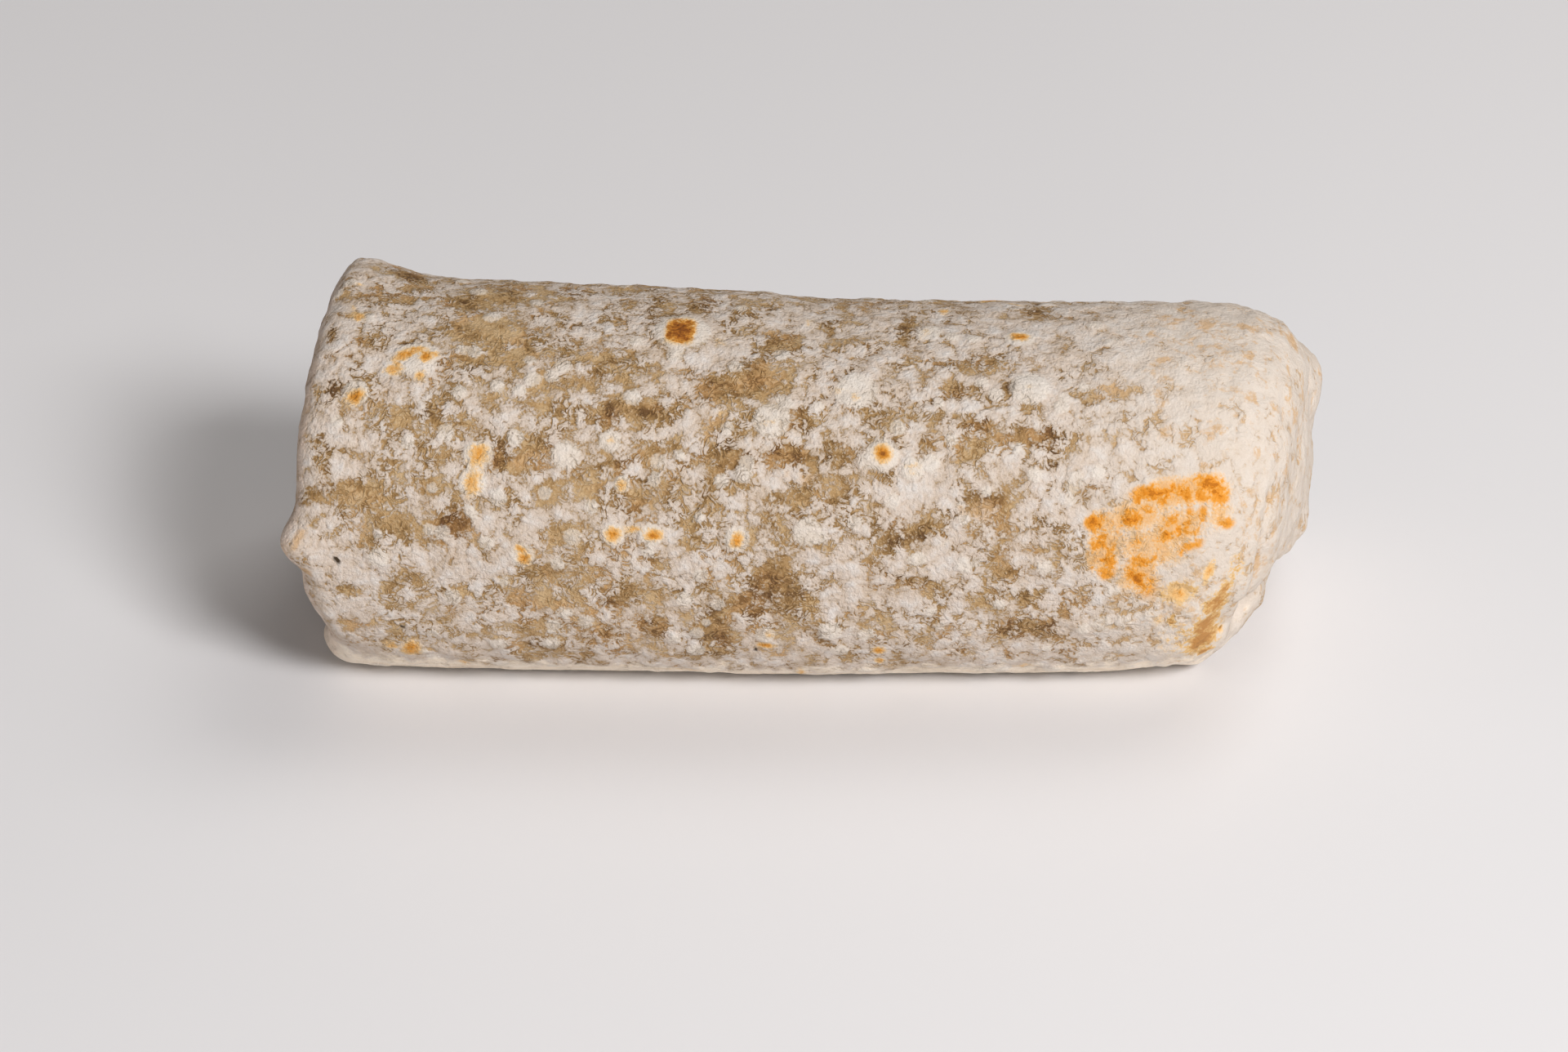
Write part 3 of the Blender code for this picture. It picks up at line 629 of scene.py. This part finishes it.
def flour_cover(board):
    """How thick the flour lies in soft clumps, with the clumps themselves and the fine grit."""
    nudge = board.tree.nodes.new("ShaderNodeTexNoise")
    board.put(board.place, nudge.inputs["Vector"])
    nudge.inputs["Scale"].default_value = 1 / (2.2 * MM)
    nudge.inputs["Detail"].default_value = 1.0
    shift = board.tree.nodes.new("ShaderNodeVectorMath")
    shift.operation = "MULTIPLY_ADD"
    board.put(nudge.outputs["Color"], shift.inputs[0])
    shift.inputs[1].default_value = (2.4 * MM,) * 3
    board.put(board.place, shift.inputs[2])
    uneven = shift.outputs[0]
    clump, _ = board.cells(3.1, where=uneven)
    crumb, _ = board.cells(1.3, where=uneven)
    grain, _ = board.cells(0.46)
    grit = board.math("ADD", board.sum_of((board.noise(0.40, 3, 0.8), 1.15), (grain, -0.42)), 0.23)
    curl = board.math("ABSOLUTE", board.noise(1.7, 2, 0.55, 1.1))
    often = board.between(board.noise(5.5, 1), -0.12, 0.10)
    lines = board.math("MULTIPLY", board.between(curl, 0.095, 0.010), board.math("MULTIPLY_ADD", often, 0.75, 0.25))
    level = board.math("ADD", board.sum_of(
        (board.painted("flour"), 0.80),
        (clump, -0.95),
        (crumb, -0.90),
        (board.noise(3.4, 2, 0.5), 1.35),
    ), 0.95)
    veins = board.math("MULTIPLY", lines, board.between(level, 0.85, 0.25))
    return board.math("MULTIPLY_ADD", veins, -0.65, level), clump, crumb, grit, veins


def bare_colour(board, level, grit, veins):
    """Tan to dark brown skin, peppered with pale grains, more of them near the flour."""
    depth = board.sum_of(
        (board.painted("dark"), 0.82), (board.noise(3.2, 2, 0.55), 1.4), (board.noise(0.9, 2), 0.6), (grit, -0.30),
        (veins, 0.34),
    )
    colour = board.ramp(board.math("ADD", depth, -0.16), [
        (0.08, (0.530, 0.367, 0.198)), (0.42, (0.422, 0.265, 0.117)), (0.72, (0.267, 0.150, 0.051)),
        (1.0, (0.126, 0.060, 0.018)),
    ])
    reddish = board.between(board.noise(7, 2, 0.5), -0.02, 0.16)
    colour = board.mix(board.math("MULTIPLY", reddish, 0.4), colour, (1.15, 0.93, 0.75), "MULTIPLY")
    dot, _ = board.cells(0.44)
    specks = board.between(board.sum_of((dot, -0.8), (grit, 1.9), (level, 0.75)), -0.62, -0.12)
    return board.mix(board.math("MULTIPLY", specks, 0.52), colour, (0.64, 0.49, 0.33))


def flour_colour(board, level, clump, grit):
    """Flour from a thin beige veil to thick white."""
    bright = board.sum_of(
        (level, 0.42), (clump, -0.30), (board.noise(0.9, 2, 0.6), 0.45), (board.noise(6, 1), 0.5), (grit, 0.30),
    )
    return board.ramp(board.math("ADD", bright, 0.50), [
        (0.0, (0.400, 0.280, 0.190)), (0.3, (0.545, 0.430, 0.330)), (0.6, (0.630, 0.530, 0.450)),
        (1.0, (0.682, 0.627, 0.584)),
    ])


def tortilla_material():
    """Floury cooked tortilla: flour over thin tan skin, pale blisters and browned spots."""
    board = Board("floury_tortilla")
    level, clump, crumb, grit, veins = flour_cover(board)
    right = board.painted("right_end")
    gritty = board.math("MULTIPLY", grit, board.math("MULTIPLY_ADD", right, -0.7, 1.25))
    flour = board.between(board.math("MULTIPLY", board.math("ADD", gritty, level), board.math("MULTIPLY_ADD", right, -0.35, 1.0)), -0.25, 0.25)
    bare = bare_colour(board, level, grit, veins)
    white = flour_colour(board, level, clump, grit)

    bare = board.mix(board.math("MULTIPLY", right, 0.72), bare, (0.62, 0.43, 0.26))
    white = board.mix(board.math("MULTIPLY", right, 0.75), white, (0.645, 0.565, 0.488))
    skin = board.mix(flour, bare, white)

    # Bright cream on the underside: the dough's own cream, brightened past it as painted bounce light.
    along_streaks = board.noise(1.4, 3, 0.6, 0.4, board.stretch((0.16, 1, 1)))
    cream_and_bounce_light = board.ramp(board.math("ADD", board.sum_of((along_streaks, 1.3), (board.noise(5, 2), 0.6)), 0.5), [
        (0.0, (0.76, 0.61, 0.44)), (0.4, (0.93, 0.80, 0.65)), (1.0, (0.98, 0.90, 0.80)),
    ])
    under = board.between(board.sum_of((board.painted("underside"), 1.0), (board.noise(3, 3, 0.6), 1.8)), 0.25, 0.85)
    skin = board.mix(board.math("MULTIPLY", under, 0.92), skin, cream_and_bounce_light)

    pale = board.between(board.sum_of((board.painted("pale"), 1.0), (board.noise(0.7, 2), 0.3), (grit, 0.3)), 0.28, 0.55)
    skin = board.mix(board.math("MULTIPLY", pale, board.math("MULTIPLY_ADD", right, -0.45, 0.58)), skin, (0.745, 0.672, 0.590))

    streaks = board.math("MULTIPLY", board.painted("right_streaks"), board.noise(1.3, 2, 0.5, 0.3, board.stretch((1, 0.15, 0.15))))
    wisps = board.math("MULTIPLY", right, board.noise(2.2, 4, 0.7, 0.8))
    # Tan tints of the skin, with the painted crease shade of the right fold among them.
    warm_tint_and_crease_shade = board.sum_of((board.painted("warm_tint_and_crease_shade"), 1.0), (streaks, 2.4), (wisps, 2.7), (board.noise(1.3, 3, 0.6), 1.2), (grit, 0.3))
    skin = board.mix(board.math("MULTIPLY", board.between(warm_tint_and_crease_shade, 0.22, 0.85), 0.80), skin, (0.60, 0.385, 0.20))
    # Pale cream on the shaded left rim: the folded end's dough, with painted bounce light.
    rim = board.sum_of((board.painted("left_rim_cream_and_bounce"), 1.0), (board.noise(1.6, 3, 0.6, 0, board.stretch((1, 0.3, 0.3))), 0.8))
    skin = board.mix(board.math("MULTIPLY", board.between(rim, 0.2, 1.0), 0.45), skin, (0.70, 0.53, 0.42))

    close = board.between(board.painted("thin_corner"), 0.02, 0.25)
    ragged = board.math("MULTIPLY", close, board.sum_of((board.noise(1.1, 3, 0.65), 2.1), (grit, 0.8)))
    corner = board.sum_of((board.painted("thin_corner"), 1.2), (ragged, 1.0))
    golden = board.ramp(corner, [(0.15, (0.76, 0.56, 0.33)), (0.55, (0.65, 0.40, 0.150)), (1.0, (0.46, 0.21, 0.045))])
    skin = board.mix(board.math("MULTIPLY", board.between(corner, 0.10, 0.42), 0.95), skin, golden)

    near = board.between(board.painted("toast"), 0.02, 0.20)
    frayed = board.math("MULTIPLY", near, board.sum_of((board.noise(1.1, 3, 0.6), 0.6), (grit, 0.3)))
    toast = board.sum_of((board.painted("toast"), 1.0), (frayed, 1.0))
    browned = board.ramp(toast, [
        (0.12, (0.80, 0.64, 0.44)), (0.40, (0.78, 0.50, 0.22)), (0.70, (0.66, 0.28, 0.035)), (0.88, (0.46, 0.16, 0.012)),
        (1.0, (0.28, 0.090, 0.008)),
    ])
    skin = board.mix(board.between(toast, 0.10, 0.50), skin, browned)

    close = board.between(board.painted("scorch"), 0.02, 0.20)
    ragged = board.math("MULTIPLY", close, board.sum_of((board.noise(0.9, 2), 0.35), (grit, 0.2)))
    square = board.sum_of((board.painted("scorch"), 1.0), (ragged, 1.0))
    burnt = board.ramp(board.math("SUBTRACT", 1.30, board.sum_of((square, 0.9), (board.noise(1.3, 2), 1.1), (grit, 0.5))), [
        (0.25, (0.20, 0.058, 0.005)), (0.5, (0.36, 0.115, 0.009)), (0.75, (0.62, 0.27, 0.040)), (1.0, (0.80, 0.55, 0.27)),
    ])
    skin = board.mix(board.between(square, 0.12, 0.50), skin, burnt)

    sear = board.painted("sear")
    close = board.between(sear, 0.02, 0.20)
    ragged = board.math("MULTIPLY", close, board.sum_of((board.noise(2.2, 3, 0.6), 0.9), (grit, 0.9)))
    spread = board.sum_of((sear, 1.2), (ragged, 1.0))
    ground = board.ramp(spread, [(0.2, (0.78, 0.58, 0.39)), (0.6, (0.75, 0.475, 0.235)), (1.0, (0.72, 0.375, 0.12))])
    skin = board.mix(board.math("MULTIPLY", board.between(spread, 0.03, 0.70), 0.85), skin, ground)
    patchy = board.math("MULTIPLY", sear, board.sum_of((board.noise(1.0, 3, 0.6, 0.5), 2.7), (grit, 0.8)))
    fleck = board.sum_of((board.painted("sear_flecks"), 1.0), (sear, 0.14), (patchy, 1.0))
    seared = board.ramp(fleck, [
        (0.20, (0.76, 0.43, 0.155)), (0.50, (0.73, 0.31, 0.042)), (0.85, (0.66, 0.225, 0.008)), (1.0, (0.48, 0.15, 0.005)),
    ])
    skin = board.mix(board.between(fleck, 0.10, 0.52), skin, seared)

    skin = board.mix(board.between(board.painted("pits"), 0.25, 0.7), skin, (0.050, 0.030, 0.014))
    board.put(skin, board.shader.inputs["Base Color"])

    rough = board.sum_of((flour, 0.18), (board.noise(0.9, 2), 0.12))
    board.put(board.math("ADD", rough, 0.62), board.shader.inputs["Roughness"])
    board.shader.inputs["Specular IOR Level"].default_value = 0.3

    height = board.sum_of(
        (flour, 0.16), (level, 0.15), (clump, -0.45), (crumb, -0.35), (board.noise(0.7, 2, 0.6), 0.6), (grit, 0.5),
        (board.painted("pale"), 0.35), (veins, -0.22),
    )
    height = board.math("MULTIPLY", height, board.math("MULTIPLY_ADD", right, -0.45, 1.0))
    bump = board.tree.nodes.new("ShaderNodeBump")
    bump.inputs["Strength"].default_value = 0.9
    bump.inputs["Distance"].default_value = 0.55 * MM
    board.put(height, bump.inputs["Height"])
    board.put(bump.outputs["Normal"], board.shader.inputs["Normal"])
    return board.material


# ---------------------------------------------------------------- the burrito

def burrito_skin():
    skin = skin_over(frame["nodes"]["burrito"])
    paint_places(skin)
    raise_relief(skin)
    skin.data.materials.clear()
    skin.data.materials.append(tortilla_material())
    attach(skin, "root")
    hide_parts("burrito")


camera_above_front()
studio()
burrito_skin()
